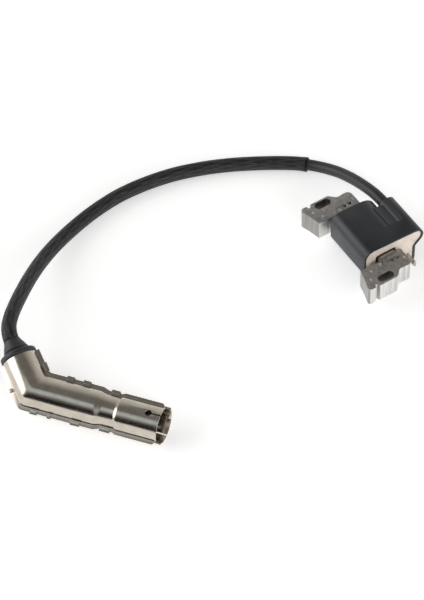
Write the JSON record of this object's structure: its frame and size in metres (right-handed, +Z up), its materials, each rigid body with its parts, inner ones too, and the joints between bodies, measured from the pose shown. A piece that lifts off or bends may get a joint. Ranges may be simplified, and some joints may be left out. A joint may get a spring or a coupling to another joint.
{
  "type": "small engine ignition coil with lead and shielded plug cap",
  "caption": "Potted ignition coil on a laminated U core, with a sleeved spark plug lead ending in a shielded elbow cap.",
  "frame": {"origin": "centre of the coil module's box, on the plane that the coil case rests on; the lead and the cap on its end are not part of that box", "axes": "+X along the core's bar from the lead side to the terminal side, +Y away from the flywheel, +Z up from the case's underside to the core's top face"},
  "size_m": [0.1751, 0.2577, 0.0313],
  "materials": {
    "lamination_steel": "dark oxide coat, bright where ground",
    "case_plastic": "satin black moulding",
    "potting_resin": "cast beige resin",
    "bobbin_plastic": "satin",
    "copper_wire": "enamelled copper",
    "circuit_board": "solder mask",
    "moulded_epoxy": "matte",
    "tinned_brass": "tinned",
    "brass": "turned",
    "lead_rubber": "satin black",
    "braided_sleeve": "woven glass sleeve, black",
    "seal_rubber": "satin black",
    "cap_insulator": "matte",
    "nickel_plated_steel": "bright nickel plate on pressed sheet",
    "resistor_ceramic": "glazed",
    "spring_steel": "bright wire"
  },
  "bodies": {
    "coil_module": {"core_leg_far": "lamination_steel", "core_leg_near": "lamination_steel", "core_bar": "lamination_steel", "ground_clip": "tinned_brass", "primary_bobbin": "bobbin_plastic", "primary_winding": "copper_wire", "secondary_bobbin": "bobbin_plastic", "secondary_winding_1": "copper_wire", "secondary_winding_2": "copper_wire", "secondary_winding_3": "copper_wire", "secondary_winding_4": "copper_wire", "secondary_winding_5": "copper_wire", "coil_case": "case_plastic", "potting": "potting_resin", "trigger_board": "circuit_board", "switch_transistor": "moulded_epoxy", "trigger_chip": "moulded_epoxy", "kill_terminal": "tinned_brass", "high_voltage_pin": "tinned_brass", "lead_cable": "lead_rubber", "braided_sleeve": "braided_sleeve"},
    "plug_cap": {"rubber_seal": "seal_rubber", "cap_insulator": "cap_insulator", "shield_upper": "nickel_plated_steel", "shield_lower": "nickel_plated_steel", "lead_screw": "brass", "suppressor_resistor": "resistor_ceramic", "contact_spring": "spring_steel", "plug_clip": "brass"}
  },
  "joints": [
    {"name": "cap_swivel", "type": "hinge", "parent": "coil_module", "child": "plug_cap", "pos_m": [-0.04668, -0.21678, 0.02172], "axis": [-0.9285, 0.1115, 0.3543], "range_deg": [-180, 180]}
  ]
}
